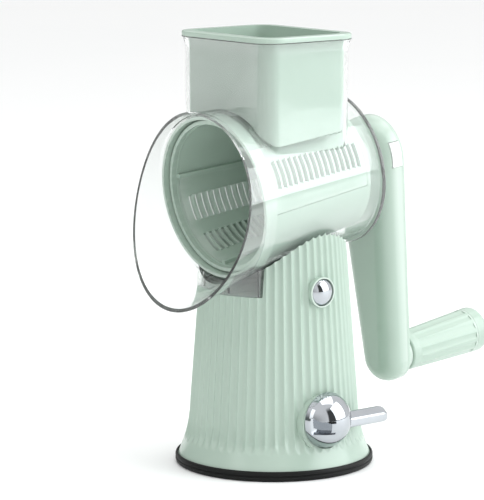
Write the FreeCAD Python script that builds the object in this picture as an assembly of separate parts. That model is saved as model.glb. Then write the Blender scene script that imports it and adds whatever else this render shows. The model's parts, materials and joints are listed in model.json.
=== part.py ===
"""Rotary cheese grater on a suction base: a fluted tower, a clear barrel with a
hopper, a slotted drum and a crank.

Row frame: millimetres, +Z up, origin on the table under the tower's axis.
The outlet faces -Y, the crank is at +Y, the suction lever and the lock button
are on the +X side. The barrel, drum and crank share one axis, which rises
towards the crank. Parts on that axis are drawn in the barrel's own frame,
(x, s, t): s runs along the axis to the rear and t is square to it, upwards.
"""
import FreeCAD, Part
import math
import os

from FreeCAD import Vector

os.makedirs("parts", exist_ok=True)

# ---------------------------------------------------------------- driving sizes
WALL = 3.0                   # moulded ABS wall of the tower
CLEAR_WALL = 2.2             # clear plastic wall of the barrel and hopper
RUN = 0.05                   # radial clearance of a running fit
GAP = 0.4                    # clearance between parts that don't touch

RING_RADIUS = 68.0           # rubber base ring
RING_HEIGHT = 7.0
TOWER_FOOT_R = 66.4          # tower wall where it meets the ring
TOWER_LOW_R = 57.6           # tower wall where the straight taper starts
TOWER_LOW_Z = 42.0
TOWER_TAPER = 0.0765         # loss of radius per millimetre of height
TOWER_TOP_Z = 172.0          # height of the blank before the saddle is cut
FLUTES = 56
FLUTE_DEPTH = 0.85
FLUTE_LOW_Z = 18.5

TILT = 7.0                   # rise of the barrel's axis towards the crank, degrees
AXIS_Z = 193.3               # height of that axis over the origin

BARREL_FRONT_S = -54.0
BARREL_REAR_S = 54.0
BARREL_FRONT_R = 58.2
BARREL_REAR_R = 51.0
FLANGE_R = 54.0
HOOD_SLOPE = 0.236           # gain of radius per millimetre forwards
HOOD_TOP_S = -60.1           # where the rim's highest point is
HOOD_LOW_S = -97.4           # where the rim's lowest point is

HOPPER_W = 96.0              # across X
HOPPER_L = 76.4              # along Y
HOPPER_Y = -6.8
HOPPER_CORNER = 13.0
HOPPER_TOP_Z = 291.9
LIP_FLARE = 2.75
LIP_HEIGHT = 7.5
PUSHER_CLEARANCE = 0.7
PUSHER_RIM_Z = 295.6
PUSHER_SWEEP_R = 56.6        # radius of the pusher's hollowed underside

DRUM_FRONT_S = -50.0
DRUM_REAR_S = 48.0
DRUM_FRONT_R = 51.8
DRUM_REAR_R = 43.6
DRUM_WALL = 2.4
DRUM_RING_R = 54.9
PLATE_START = -10.0          # first edge of a blade plate, degrees above +X
PLATE_SPAN = 93.0
SLOTS = 16
SLOT_PITCH = 4.95
SLOT_WIDTH = 2.4
SLOT_FIRST_S = -37.6
SLOT_ROWS = ((9.0, 20.5), (42.5, 20.5))   # start above +X and span, degrees

JOURNAL_R = 9.0
JOURNAL_END_S = 66.0
HEX_R = 7.6                  # corner radius of the spindle's hexagon
SPINDLE_END_S = 86.0
GROOVE_S = 82.0

ARM_FRONT_S = 73.7
ARM_REAR_S = 95.0
ARM_SEAM_S = 90.4
ARM_HUB_R = 28.6
ARM_END_R = 17.4
ARM_LENGTH = 145.9
ARM_FRONT_ROUND = 12.4
ARM_REAR_ROUND = 3.4
ARM_WALL = 2.6

GRIP_START_S = 100.5
GRIP_END_S = 167.0
GRIP_DOME = 6.5
GRIP_START_R = 13.8
GRIP_END_R = 16.2
GRIP_FLUTES = 14

SADDLE_FRONT_R = 58.7
SADDLE_REAR_R = 55.6
FOOT_HALF_W = 33.0
FOOT_LOW_Z = 122.0
FOOT_TOP_Z = 150.0
FOOT_REAR_Y = 10.0
FOOT_FACE_R = 51.9           # outside radius of the foot's curved front face

BUTTON_Y = -1.2
BUTTON_Z = 124.0
BUTTON_R = 9.0
BEZEL_R = 10.2
STEM_R = 5.0                 # stem of the lock button
CATCH_R = 4.6                # lug of the foot's catch
CATCH_END_X = 38.4
LEVER_Y = -3.0
LEVER_Z = 38.2
LEVER_BOSS_R = 19.9
LEVER_BOSS_Z = 35.8
LEVER_FACE_X = 58.6          # outer face of the boss that the lever turns in
LEVER_RADIUS = 4.0           # radius of the lever's shaft
KNOB_R = 19.0
KNOB_HEIGHT = 15.2
BLADE_X1 = 60.6
BLADE_X2 = 69.6
BLADE_LOW_Z = 32.6
BLADE_THICK = 6.2
BLADE_RISE = 5.0             # how much higher the blade's back edge is
LIFT = 4.0                   # travel of the suction pad

PLATE_LOW_Z = 9.0            # underside of the bottom plate inside the tower
PLATE_RADIUS = 59.4
PLATE_HUB_HEIGHT = 4.0
HEAD_DEPTH = 1.4             # how far the plate screws' heads are sunk
PLATE_THICK = 3.0


# ---------------------------------------------------------------- small helpers
def tilted(shape):
    """Move a shape from the barrel's frame into the row frame."""
    moved = shape.copy()
    moved.rotate(Vector(0, 0, 0), Vector(1, 0, 0), TILT)
    moved.translate(Vector(0, 0, AXIS_Z))
    return moved


def save(name, shape):
    """Write one node."""
    cleaned = shape.removeSplitter()
    cleaned.exportStep("parts/" + name + ".step")
    print(name, "solids", len(cleaned.Solids), "valid", cleaned.isValid(),
          "volume %.1f cm3" % (cleaned.Volume / 1000.0))


def cone_s(s1, r1, s2, r2):
    """Solid frustum on the barrel's axis, from s1 to s2."""
    if abs(r1 - r2) < 1e-6:
        return Part.makeCylinder(r1, s2 - s1, Vector(0, s1, 0), Vector(0, 1, 0))
    return Part.makeCone(r1, r2, s2 - s1, Vector(0, s1, 0), Vector(0, 1, 0))


def ring_s(s1, s2, r_in, r_out):
    """Plain ring on the barrel's axis."""
    return cone_s(s1, r_out, s2, r_out).cut(cone_s(s1 - 1, r_in, s2 + 1, r_in))


def cylinder_x(x1, x2, radius, y=0.0, z=0.0):
    """Solid cylinder along X."""
    return Part.makeCylinder(radius, x2 - x1, Vector(x1, y, z), Vector(1, 0, 0))


def rim_edges(shape, s, size):
    """Edges that lie flat at s and are wider than size."""
    flat = [e for e in shape.Edges if abs(e.BoundBox.YMin - s) < 0.02 and abs(e.BoundBox.YMax - s) < 0.02]
    return [e for e in flat if e.BoundBox.XLength > size]


def block(x1, x2, y1, y2, z1, z2):
    """Box between two corners."""
    return Part.makeBox(x2 - x1, y2 - y1, z2 - z1, Vector(x1, y1, z1))


def turned(points, origin, axis_dir, radial_dir):
    """Solid of revolution from (radius, height) points, closed by straight lines."""
    flat = [origin + radial_dir * r + axis_dir * h for r, h in points]
    face = Part.Face(Part.makePolygon(flat + [flat[0]]))
    return face.revolve(origin, axis_dir, 360)


def turned_z(points):
    """Solid of revolution about the tower's axis."""
    return turned(points, Vector(0, 0, 0), Vector(0, 0, 1), Vector(1, 0, 0))


def rounded_rectangle(width, length, corner, y, z):
    """Wire of a rounded rectangle at height z, centred on x = 0."""
    half_w = width / 2.0
    half_l = length / 2.0
    k = corner * (1 - math.sqrt(0.5))
    corners = ((1, 1), (-1, 1), (-1, -1), (1, -1))
    edges = []
    ends = []
    for i, (sx, sy) in enumerate(corners):
        a = Vector(sx * half_w, y + sy * (half_l - corner), z)
        b = Vector(sx * (half_w - corner), y + sy * half_l, z)
        mid = Vector(sx * (half_w - k), y + sy * (half_l - k), z)
        if i % 2:
            a, b = b, a
        ends.append((a, mid, b))
    for i, (a, mid, b) in enumerate(ends):
        edges.append(Part.Arc(a, mid, b).toShape())
        edges.append(Part.makeLine(b, ends[(i + 1) % 4][0]))
    return Part.Wire(edges)


def rounded_box(width, length, corner, y, z1, z2):
    """Upright solid with a rounded rectangular plan."""
    face = Part.Face(rounded_rectangle(width, length, corner, y, z1))
    return face.extrude(Vector(0, 0, z2 - z1))


def coil_spring(radius, wire, turns, start, end):
    """Open coil spring between two points, as one swept wire."""
    length = (end - start).Length
    helix = Part.makeHelix(length / turns, length, radius)
    profile = Part.Wire(Part.makeCircle(wire / 2.0, Vector(radius, 0, 0), Vector(0, 1, 0)))
    spring = Part.Wire(helix).makePipeShell([profile], True, True)
    turn = FreeCAD.Rotation(Vector(0, 0, 1), end - start)
    spring.Placement = FreeCAD.Placement(start, turn)
    return spring


def screw_z(radius, head_radius, x, y, z_head, length):
    """Pan head screw pointing up, with a cross recess under its head."""
    shank = Part.makeCylinder(radius, length, Vector(x, y, z_head))
    head = Part.makeCylinder(head_radius, 1.8, Vector(x, y, z_head - 1.8))
    head = head.makeFillet(0.7, [head.Edges[2]])
    recess = block(x - 1.8, x + 1.8, y - 0.4, y + 0.4, z_head - 2, z_head - 0.9)
    recess = recess.fuse(block(x - 0.4, x + 0.4, y - 1.8, y + 1.8, z_head - 2, z_head - 0.9))
    return shank.fuse(head).cut(recess)


def tower_radius(z):
    """Outside radius of the tower's straight taper at height z."""
    return TOWER_LOW_R - TOWER_TAPER * (z - TOWER_LOW_Z)


def barrel_radius(s):
    """Outside radius of the clear barrel."""
    share = (s - BARREL_FRONT_S) / (BARREL_REAR_S - BARREL_FRONT_S)
    return BARREL_FRONT_R + (BARREL_REAR_R - BARREL_FRONT_R) * share


def drum_radius(s):
    """Outside radius of the drum."""
    share = (s - DRUM_FRONT_S) / (DRUM_REAR_S - DRUM_FRONT_S)
    return DRUM_FRONT_R + (DRUM_REAR_R - DRUM_FRONT_R) * share


def barrel_cone(s1, s2, offset):
    """Solid cone that follows the barrel, offset outwards."""
    return cone_s(s1, barrel_radius(s1) + offset, s2, barrel_radius(s2) + offset)


# ---------------------------------------------------------------- tower and base
def tower_blank(offset, z1):
    """Tapered and flared solid of the tower, offset inwards, from height z1."""
    foot = TOWER_FOOT_R - offset
    low = TOWER_LOW_R - offset
    top = tower_radius(TOWER_TOP_Z) - offset
    bend = Part.Arc(Vector(foot, 0, z1), Vector(low + 2.9, 0, 21.0), Vector(low, 0, TOWER_LOW_Z))
    outline = [
        Part.makeLine(Vector(0, 0, z1), Vector(foot, 0, z1)),
        bend.toShape(),
        Part.makeLine(Vector(low, 0, TOWER_LOW_Z), Vector(top, 0, TOWER_TOP_Z)),
        Part.makeLine(Vector(top, 0, TOWER_TOP_Z), Vector(0, 0, TOWER_TOP_Z)),
        Part.makeLine(Vector(0, 0, TOWER_TOP_Z), Vector(0, 0, z1)),
    ]
    return Part.Face(Part.Wire(outline)).revolve(Vector(0, 0, 0), Vector(0, 0, 1), 360)


def flute_cutters():
    """One tapered rod per flute, leaning with the tower's wall."""
    rods = []
    low_z = FLUTE_LOW_Z
    high_z = TOWER_TOP_Z + 4
    low_r = tower_radius(low_z)
    high_r = tower_radius(high_z)
    width = 2 * math.pi / FLUTES * 0.86
    for i in range(FLUTES):
        angle = 2 * math.pi * (i + 0.5) / FLUTES
        out = Vector(math.cos(angle), math.sin(angle), 0)
        radii = []
        centres = []
        for r, z in ((low_r, low_z), (high_r, high_z)):
            half = r * width / 2
            rod = (half ** 2 + FLUTE_DEPTH ** 2) / (2 * FLUTE_DEPTH)
            radii.append(rod)
            centres.append(out * (r + rod - FLUTE_DEPTH) + Vector(0, 0, z))
        lean = centres[1] - centres[0]
        rods.append(Part.makeCone(radii[0], radii[1], lean.Length, centres[0], lean))
    return Part.makeCompound(rods)


def saddle_cone(offset):
    """Seat for the barrel in the top of the tower, offset outwards."""
    slope = (SADDLE_REAR_R - SADDLE_FRONT_R) / (BARREL_REAR_S - BARREL_FRONT_S)
    reach = 60.0
    front_r = SADDLE_FRONT_R - slope * reach + offset
    rear_r = SADDLE_REAR_R + slope * reach + offset
    return cone_s(BARREL_FRONT_S - reach, front_r, BARREL_REAR_S + reach, rear_r)


def foot_block(offset):
    """Solid block of the barrel's plug-in foot, offset outwards."""
    return block(-FOOT_HALF_W - offset, FOOT_HALF_W + offset, -75, FOOT_REAR_Y + offset,
                 FOOT_LOW_Z - offset, FOOT_TOP_Z)


def tower_shell():
    outer = tower_blank(0.0, RING_HEIGHT - 2.0)
    outer = outer.cut(flute_cutters())
    boss = cylinder_x(40, LEVER_FACE_X, LEVER_BOSS_R, LEVER_Y, LEVER_BOSS_Z)
    collar = cylinder_x(40, 52.6, BEZEL_R, BUTTON_Y, BUTTON_Z)
    outer = outer.fuse([boss, collar])
    hollow = tower_blank(WALL, 0.0)
    saddle_shell = tilted(saddle_cone(WALL))
    channel_wall = foot_block(GAP + WALL)
    hollow = hollow.cut(saddle_shell).cut(channel_wall)
    shell = outer.cut(hollow)
    saddle = tilted(saddle_cone(0.0))
    channel = foot_block(GAP)
    above = block(-80, 80, -80, 80, AXIS_Z - 20, AXIS_Z + 40)
    shell = shell.cut([saddle, channel, above])
    for x, y in screw_places():
        post = Part.makeCylinder(4.5, 26, Vector(x, y, PLATE_LOW_Z + PLATE_THICK))
        pilot = Part.makeCylinder(1.6, 14, Vector(x, y, PLATE_LOW_Z + PLATE_THICK - 1))
        web_angle = math.degrees(math.atan2(y, x))
        web = block(0, 16, -1.2, 1.2, PLATE_LOW_Z + PLATE_THICK, PLATE_LOW_Z + PLATE_THICK + 26)
        web.rotate(Vector(0, 0, 0), Vector(0, 0, 1), web_angle)
        web.translate(Vector(x, y, 0))
        shell = shell.fuse([post, web.common(tower_blank(1.0, 5.0))]).cut(pilot)
    guide = cylinder_x(30, 50, 7.0, BUTTON_Y, BUTTON_Z).cut(channel_wall)
    shell = shell.fuse(guide)
    bores = [
        cylinder_x(47, 80, BUTTON_R + 0.3, BUTTON_Y, BUTTON_Z),
        cylinder_x(20, 80, STEM_R + 0.1, BUTTON_Y, BUTTON_Z),
        cylinder_x(20, 80, 8.0, LEVER_Y, LEVER_Z),
        cylinder_x(LEVER_FACE_X, 80, KNOB_R + GAP, LEVER_Y, LEVER_Z),
    ]
    return shell.cut(bores)


def screw_places():
    """Three screws round the bottom plate."""
    places = []
    for i in range(3):
        angle = math.radians(60 + 120 * i)
        places.append((45.0 * math.cos(angle), 45.0 * math.sin(angle)))
    return places


def base_ring():
    profile = [(58.5, 0.0), (65.5, 0.0), (67.4, 0.9), (RING_RADIUS, 2.6), (RING_RADIUS, 5.2),
               (67.4, 6.6), (66.6, RING_HEIGHT), (66.6, 4.9), (62.5, 4.9), (62.5, PLATE_LOW_Z - 0.1),
               (60.5, PLATE_LOW_Z - 0.1), (58.5, 4.5)]
    return turned_z(profile).cut(tower_blank(0.0, RING_HEIGHT - 2.0))


def bottom_plate():
    plate = Part.makeCylinder(PLATE_RADIUS, PLATE_THICK, Vector(0, 0, PLATE_LOW_Z))
    hub = Part.makeCylinder(9.0, PLATE_HUB_HEIGHT, Vector(0, 0, PLATE_LOW_Z + PLATE_THICK))
    plate = plate.fuse(hub)
    for x1, x2 in ((-14, -10), (10, 14)):
        post = block(x1, x2, LEVER_Y - 9, LEVER_Y + 9, PLATE_LOW_Z + PLATE_THICK, LEVER_Z)
        top = cylinder_x(x1, x2, 9.0, LEVER_Y, LEVER_Z)
        plate = plate.fuse([post, top])
    cuts = [Part.makeCylinder(4.0 + RUN, 30, Vector(0, 0, 0)),
            cylinder_x(-20, 20, LEVER_RADIUS + RUN, LEVER_Y, LEVER_Z)]
    for x, y in screw_places():
        cuts.append(Part.makeCylinder(2.0, 10, Vector(x, y, 5)))
        cuts.append(Part.makeCylinder(3.6, PLATE_LOW_Z - 5 + HEAD_DEPTH, Vector(x, y, 5)))
    for i in range(6):
        rib_angle = 60 * i
        rib = block(12, 56, -1, 1, PLATE_LOW_Z + PLATE_THICK, PLATE_LOW_Z + PLATE_THICK + 4)
        rib.rotate(Vector(0, 0, 0), Vector(0, 0, 1), rib_angle + 30)
        plate = plate.fuse(rib)
    return plate.cut(cuts)


def plate_screws():
    screws = [screw_z(1.6, 3.2, x, y, PLATE_LOW_Z + HEAD_DEPTH, 12) for x, y in screw_places()]
    return Part.makeCompound(screws)


# ---------------------------------------------------------------- suction group
def lever_bush():
    sleeve = cylinder_x(50, LEVER_FACE_X, 8.0, LEVER_Y, LEVER_Z)
    return sleeve.cut(cylinder_x(40, 70, LEVER_RADIUS + RUN, LEVER_Y, LEVER_Z))


def knob_dome():
    """Crown of the knob, a slice of a sphere on the lever's axis."""
    rim_x = LEVER_FACE_X + 1.0
    sphere_r = (KNOB_R ** 2 + KNOB_HEIGHT ** 2) / (2 * KNOB_HEIGHT)
    ball = Part.makeSphere(sphere_r, Vector(rim_x + KNOB_HEIGHT - sphere_r, LEVER_Y, LEVER_Z))
    dome = ball.common(cylinder_x(rim_x, 90, KNOB_R, LEVER_Y, LEVER_Z))
    return dome.fuse(cylinder_x(LEVER_FACE_X + 0.4, rim_x, KNOB_R, LEVER_Y, LEVER_Z))


def blade_block(y1, y2, margin):
    """Straight bar with a sloping top where the lever's blade lies, grown by a margin."""
    low = BLADE_LOW_Z - margin
    front_top = BLADE_LOW_Z + BLADE_THICK + margin
    corners = [Vector(BLADE_X1 - margin, y1, low), Vector(80, y1, low), Vector(80, y1, front_top),
               Vector(BLADE_X2, y1, front_top), Vector(BLADE_X1 - margin, y1, front_top + BLADE_RISE)]
    return Part.Face(Part.makePolygon(corners + [corners[0]])).extrude(Vector(0, y2 - y1, 0))


def suction_knob():
    knob = knob_dome()
    recess = blade_block(LEVER_Y - 30, LEVER_Y - 4, 1.4).cut(block(0, 63.5, -60, 60, 0, 80))
    channel = blade_block(LEVER_Y - 7, LEVER_Y + 30, 0.0)
    socket = cylinder_x(50, BLADE_X1 + 4, LEVER_RADIUS, LEVER_Y, LEVER_Z)
    return knob.cut([recess, channel, socket])


def lever_blade():
    blade = blade_block(LEVER_Y - 7, LEVER_Y + 47, 0.0).common(block(0, BLADE_X2, -80, 80, 0, 80))
    tall = [e for e in blade.Edges if e.BoundBox.ZLength > BLADE_THICK - 0.1]
    blade = blade.makeFillet(2.6, [e for e in tall if e.CenterOfMass.y > LEVER_Y])
    blade = blade.makeFillet(0.8, [e for e in blade.Edges if e.BoundBox.YLength > 30])
    inside = blade_block(LEVER_Y - 7, LEVER_Y + 16, 0.0).common(knob_dome())
    blade = blade.fuse(inside)
    return blade.cut(cylinder_x(50, BLADE_X1 + 4, LEVER_RADIUS, LEVER_Y, LEVER_Z))


def lever_shaft():
    shaft = cylinder_x(-18, BLADE_X1 + 4, LEVER_RADIUS, LEVER_Y, LEVER_Z)
    groove = cylinder_x(-16.6, -15.6, 6.0, LEVER_Y, LEVER_Z).cut(
        cylinder_x(-17, -15, 3.2, LEVER_Y, LEVER_Z))
    return shaft.cut(groove)


def shaft_clip():
    ring = cylinder_x(-16.5, -15.7, 6.2, LEVER_Y, LEVER_Z).cut(
        cylinder_x(-17, -15, 3.2, LEVER_Y, LEVER_Z))
    return ring.cut(block(-17, -15, LEVER_Y - 2.2, LEVER_Y + 2.2, LEVER_Z - 10, LEVER_Z - 1))


def lift_cam():
    eccentric = LIFT / 2.0
    disc = cylinder_x(-4, 4, 9.0, LEVER_Y, LEVER_Z - eccentric)
    sleeve = cylinder_x(-9.5, 9.5, 6.6, LEVER_Y, LEVER_Z)
    return disc.fuse(sleeve).cut(cylinder_x(-20, 20, LEVER_RADIUS, LEVER_Y, LEVER_Z))


def pull_yoke():
    """Closed stirrup round the cam, with a stem through the bottom plate."""
    eccentric = LIFT / 2.0
    low = LEVER_Z - eccentric - 9.0 - 1.2
    high = LEVER_Z - eccentric + 9.0 + 0.9
    frame_block = block(-3.4, 3.4, LEVER_Y - 16, LEVER_Y + 16, low - 3, high + 3)
    window = block(-5, 5, LEVER_Y - 12, LEVER_Y + 12, low, high)
    stem = Part.makeCylinder(4.0, low - 2 - 4.4, Vector(0, 0, 4.4))
    return frame_block.cut(window).fuse(stem)


def suction_pad():
    profile = [(0, 0), (57.5, 0), (58.0, 0.6), (52, 3.0), (14, 4.0), (8, 4.4), (0, 4.4)]
    return turned_z(profile)


# ---------------------------------------------------------------- lock button
def button_bezel():
    ring = cylinder_x(52.6, 53.4, BEZEL_R, BUTTON_Y, BUTTON_Z)
    return ring.cut(cylinder_x(50, 60, BUTTON_R + 0.3, BUTTON_Y, BUTTON_Z))


def lock_button():
    height = 4.2
    rim_x = 52.4
    sphere_r = (BUTTON_R ** 2 + height ** 2) / (2 * height)
    dome = Part.makeSphere(sphere_r, Vector(rim_x + height - sphere_r, BUTTON_Y, BUTTON_Z))
    dome = dome.common(cylinder_x(rim_x, 70, BUTTON_R, BUTTON_Y, BUTTON_Z))
    skirt = cylinder_x(50.2, rim_x, BUTTON_R, BUTTON_Y, BUTTON_Z)
    return skirt.fuse(dome).cut(cylinder_x(50, 51.4, STEM_R, BUTTON_Y, BUTTON_Z))


def button_stem():
    """Stem that pushes the foot's catch inwards."""
    return cylinder_x(CATCH_END_X + 0.8, 51.4, STEM_R, BUTTON_Y, BUTTON_Z)


# ---------------------------------------------------------------- clear barrel
def hood_radius(s):
    """Outside radius of the flared hood at s."""
    return BARREL_FRONT_R + HOOD_SLOPE * (BARREL_FRONT_S - s)


def hood_trim():
    """Solid that keeps the hood behind its slanted, gently bent rim."""
    tall = 90.0
    low = -90.0
    points = [Vector(-80, HOOD_TOP_S, tall), Vector(-80, HOOD_TOP_S, 52.0), Vector(-80, -62.6, 32.0),
              Vector(-80, -70.5, 0.0), Vector(-80, HOOD_LOW_S, -68.2)]
    rim = Part.BSplineCurve()
    rim.interpolate(points[1:])
    steep = (HOOD_LOW_S + 70.5) / -68.2
    end = Vector(-80, HOOD_LOW_S + steep * (low + 68.2), low)
    edges = [Part.makeLine(points[0], points[1]), rim.toShape(), Part.makeLine(points[4], end),
             Part.makeLine(end, Vector(-80, 120, low)),
             Part.makeLine(Vector(-80, 120, low), Vector(-80, 120, tall)),
             Part.makeLine(Vector(-80, 120, tall), points[0])]
    return Part.Face(Part.Wire(edges)).extrude(Vector(160, 0, 0))


def hopper_blank(offset, z1):
    """Hopper with its flared lip, offset inwards, down to height z1."""
    straight_z = HOPPER_TOP_Z - LIP_HEIGHT
    w = HOPPER_W - 2 * offset
    length = HOPPER_L - 2 * offset
    corner = HOPPER_CORNER - offset
    body = rounded_box(w, length, corner, HOPPER_Y, z1, straight_z)
    sections = []
    for share, flare in ((0.0, 0.0), (0.45, 0.25), (1.0, 1.0)):
        grow = LIP_FLARE * flare
        z = straight_z + share * LIP_HEIGHT
        sections.append(rounded_rectangle(w + 2 * grow, length + 2 * grow, corner + grow, HOPPER_Y, z))
    return body.fuse(Part.makeLoft(sections, True, False))


def clear_housing():
    barrel = barrel_cone(BARREL_FRONT_S, BARREL_REAR_S, 0.0)
    flange = ring_s(BARREL_REAR_S - 3.2, BARREL_REAR_S, 30, FLANGE_R)
    for flange_s in (BARREL_REAR_S - 3.2, BARREL_REAR_S):
        flange = flange.makeFillet(0.9, rim_edges(flange, flange_s, 100))
    far_s = HOOD_LOW_S - 6
    hood = cone_s(far_s, hood_radius(far_s), BARREL_FRONT_S, BARREL_FRONT_R)
    hood = hood.common(hood_trim())
    foot = foot_block(0.0).common(Part.makeCylinder(FOOT_FACE_R, 90, Vector(0, 0, 95)))
    outer = tilted(barrel.fuse([flange, hood]))
    outer = outer.fuse([foot, hopper_blank(0.0, AXIS_Z)])
    bore = barrel_cone(BARREL_FRONT_S, BARREL_REAR_S - CLEAR_WALL, -CLEAR_WALL)
    hood_bore = cone_s(far_s, hood_radius(far_s) - CLEAR_WALL, BARREL_FRONT_S, BARREL_FRONT_R - CLEAR_WALL)
    rear_hole = cone_s(40, 14.0, 60, 14.0)
    foot_hollow = foot_block(-CLEAR_WALL).common(
        Part.makeCylinder(FOOT_FACE_R - CLEAR_WALL, 90, Vector(0, 0, 95)))
    foot_hollow = foot_hollow.fuse(foot_hollow.translated(Vector(0, 0, -2 * CLEAR_WALL)))
    foot_hollow = foot_hollow.cut(tilted(barrel_cone(-100, 60, 0.0)))
    for x in (-12, 12):
        foot_hollow = foot_hollow.cut(block(x - 0.9, x + 0.9, -80, 40, FOOT_LOW_Z + 1, 150))
    inner = tilted(bore.fuse([hood_bore, rear_hole]))
    clear = outer.cut(inner).cut(foot_hollow)
    clear = clear.cut(hopper_blank(CLEAR_WALL, AXIS_Z + 5))
    window = cylinder_x(FOOT_HALF_W - 4, FOOT_HALF_W + 2, CATCH_R + GAP, BUTTON_Y, BUTTON_Z)
    below = block(FOOT_HALF_W - 4, FOOT_HALF_W + 2, BUTTON_Y - CATCH_R - GAP, BUTTON_Y + CATCH_R + GAP,
                  FOOT_LOW_Z - 1, BUTTON_Z)
    return clear.cut([window, below])


def foot_catch():
    """Sprung tongue in the foot, whose lug snaps into the tower."""
    inside_x = FOOT_HALF_W - CLEAR_WALL
    plate = block(inside_x - 2.2, inside_x, BUTTON_Y - 7, BUTTON_Y + 7, BUTTON_Z - 1, BUTTON_Z + 12)
    lug = cylinder_x(inside_x - 2.2, CATCH_END_X, CATCH_R, BUTTON_Y, BUTTON_Z)
    lug = lug.common(block(0, 80, -20, 20, BUTTON_Z - 1, BUTTON_Z + 20))
    return plate.fuse(lug)


def barrel_bush():
    bush = ring_s(BARREL_REAR_S - CLEAR_WALL - 1.5, BARREL_REAR_S + 1.4, JOURNAL_R + RUN, 14.0)
    lip = ring_s(BARREL_REAR_S, BARREL_REAR_S + 1.4, JOURNAL_R + RUN, 17.0)
    return tilted(bush.fuse(lip))


def pusher():
    gap = CLEAR_WALL + PUSHER_CLEARANCE
    w = HOPPER_W - 2 * gap
    length = HOPPER_L - 2 * gap
    corner = HOPPER_CORNER - gap
    rim_z = HOPPER_TOP_Z + 0.3
    body = rounded_box(w, length, corner, HOPPER_Y, AXIS_Z + 10, rim_z + 1)
    rim = rounded_box(HOPPER_W + 2 * LIP_FLARE - 0.4, HOPPER_L + 2 * LIP_FLARE - 0.4,
                      HOPPER_CORNER + LIP_FLARE, HOPPER_Y, rim_z, PUSHER_RIM_Z)
    top = [e for e in rim.Edges if e.CenterOfMass.z > PUSHER_RIM_Z - 0.01]
    rim = rim.makeFillet(1.2, top)
    wall = 2.2
    hollow = rounded_box(w - 2 * wall, length - 2 * wall, corner - wall, HOPPER_Y, AXIS_Z, PUSHER_RIM_Z + 5)
    hollow = hollow.cut(tilted(cone_s(-90, PUSHER_SWEEP_R + 2.6, 90, PUSHER_SWEEP_R + 2.6)))
    sweep = tilted(cone_s(-90, PUSHER_SWEEP_R, 90, PUSHER_SWEEP_R))
    return body.fuse(rim).cut([hollow, sweep])


# ---------------------------------------------------------------- drum
def sector(s1, s2, r1_in, r1_out, r2_in, r2_out, start, span):
    """Curved plate between two cones, from angle start above +X, over span."""
    steps = []
    for radii in ((r1_out, r2_out), (r1_in, r2_in)):
        pts = [Vector(radii[0], s1, 0), Vector(radii[1], s2, 0)]
        steps.append(pts)
    outline = Part.makePolygon([steps[0][0], steps[0][1], steps[1][1], steps[1][0], steps[0][0]])
    face = Part.Face(outline)
    face.rotate(Vector(0, 0, 0), Vector(0, 1, 0), -start)
    return face.revolve(Vector(0, 0, 0), Vector(0, -1, 0), span)


def drum_sector(s1, s2, start, span, r_in_gap, r_out_gap):
    """Curved plate that follows the drum's cone."""
    a = drum_radius(s1)
    b = drum_radius(s2)
    return sector(s1, s2, a - r_in_gap, a - r_out_gap, b - r_in_gap, b - r_out_gap, start, span)


def drum_cage():
    front = ring_s(-45.6, -43.6, drum_radius(-45) - DRUM_WALL - 0.2, DRUM_RING_R)
    outer_lip = ring_s(-53.6, -43.6, DRUM_RING_R - 2.0, DRUM_RING_R)
    inner_lip = ring_s(-49.6, -43.6, drum_radius(-50) - DRUM_WALL - 0.2, drum_radius(-50) - 0.2)
    rear = cone_s(DRUM_REAR_S - 3, drum_radius(DRUM_REAR_S - 3), DRUM_REAR_S, DRUM_REAR_R)
    socket = cone_s(DRUM_REAR_S - 14, 12.0, DRUM_REAR_S, 12.0)
    parts = [outer_lip, inner_lip, rear, socket]
    for half in (0, 180):
        solid_start = PLATE_START + PLATE_SPAN + half
        solid_span = 180 - PLATE_SPAN
        parts.append(drum_sector(-45.0, DRUM_REAR_S - 1, solid_start, solid_span, DRUM_WALL, 0.0))
        for start in (solid_start - 2.2, solid_start + solid_span - 1.3):
            parts.append(drum_sector(-45.0, DRUM_REAR_S - 1, start, 3.5, DRUM_WALL + 2.4, DRUM_WALL + 0.05))
    cage = front.fuse(parts)
    return tilted(cage.cut(cone_s(30, JOURNAL_R, 60, JOURNAL_R)))


def blade_plate(half):
    """Slotted plate that fills one window of the cage; half is 0 or 180."""
    margin = 0.5
    start = PLATE_START + margin + half
    span = PLATE_SPAN - 2 * margin
    plate = drum_sector(-43.3, DRUM_REAR_S - 3.3, start, span, DRUM_WALL, 0.0)
    slots = []
    lips = []
    for row_start, row_span in SLOT_ROWS:
        for i in range(SLOTS):
            s1 = SLOT_FIRST_S + i * SLOT_PITCH
            angle = row_start + half
            slots.append(drum_sector(s1, s1 + SLOT_WIDTH, angle, row_span, DRUM_WALL + 3, -3.0))
            lip_s = s1 + SLOT_WIDTH + 0.3
            lips.append(drum_sector(lip_s, lip_s + 1.5, angle - 0.8, row_span + 1.6, DRUM_WALL + 0.9, -1.0))
    return tilted(plate.fuse(lips).cut(Part.makeCompound(slots)))


def hexagon(s1, s2, corner_r):
    """Hexagonal bar on the barrel's axis."""
    points = []
    for i in range(7):
        angle = math.radians(60 * i)
        points.append(Vector(corner_r * math.cos(angle), s1, corner_r * math.sin(angle)))
    return Part.Face(Part.makePolygon(points)).extrude(Vector(0, s2 - s1, 0))


def drum_spindle():
    journal = cone_s(DRUM_REAR_S - 14, JOURNAL_R, JOURNAL_END_S, JOURNAL_R)
    bar = hexagon(JOURNAL_END_S - 1, SPINDLE_END_S, HEX_R)
    groove = ring_s(GROOVE_S - 1.3, GROOVE_S + 1.3, 5.4, 12)
    nose = ring_s(SPINDLE_END_S - 1.4, SPINDLE_END_S + 1, 6.6, 12)
    return tilted(journal.fuse(bar).cut([groove, nose]))


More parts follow.
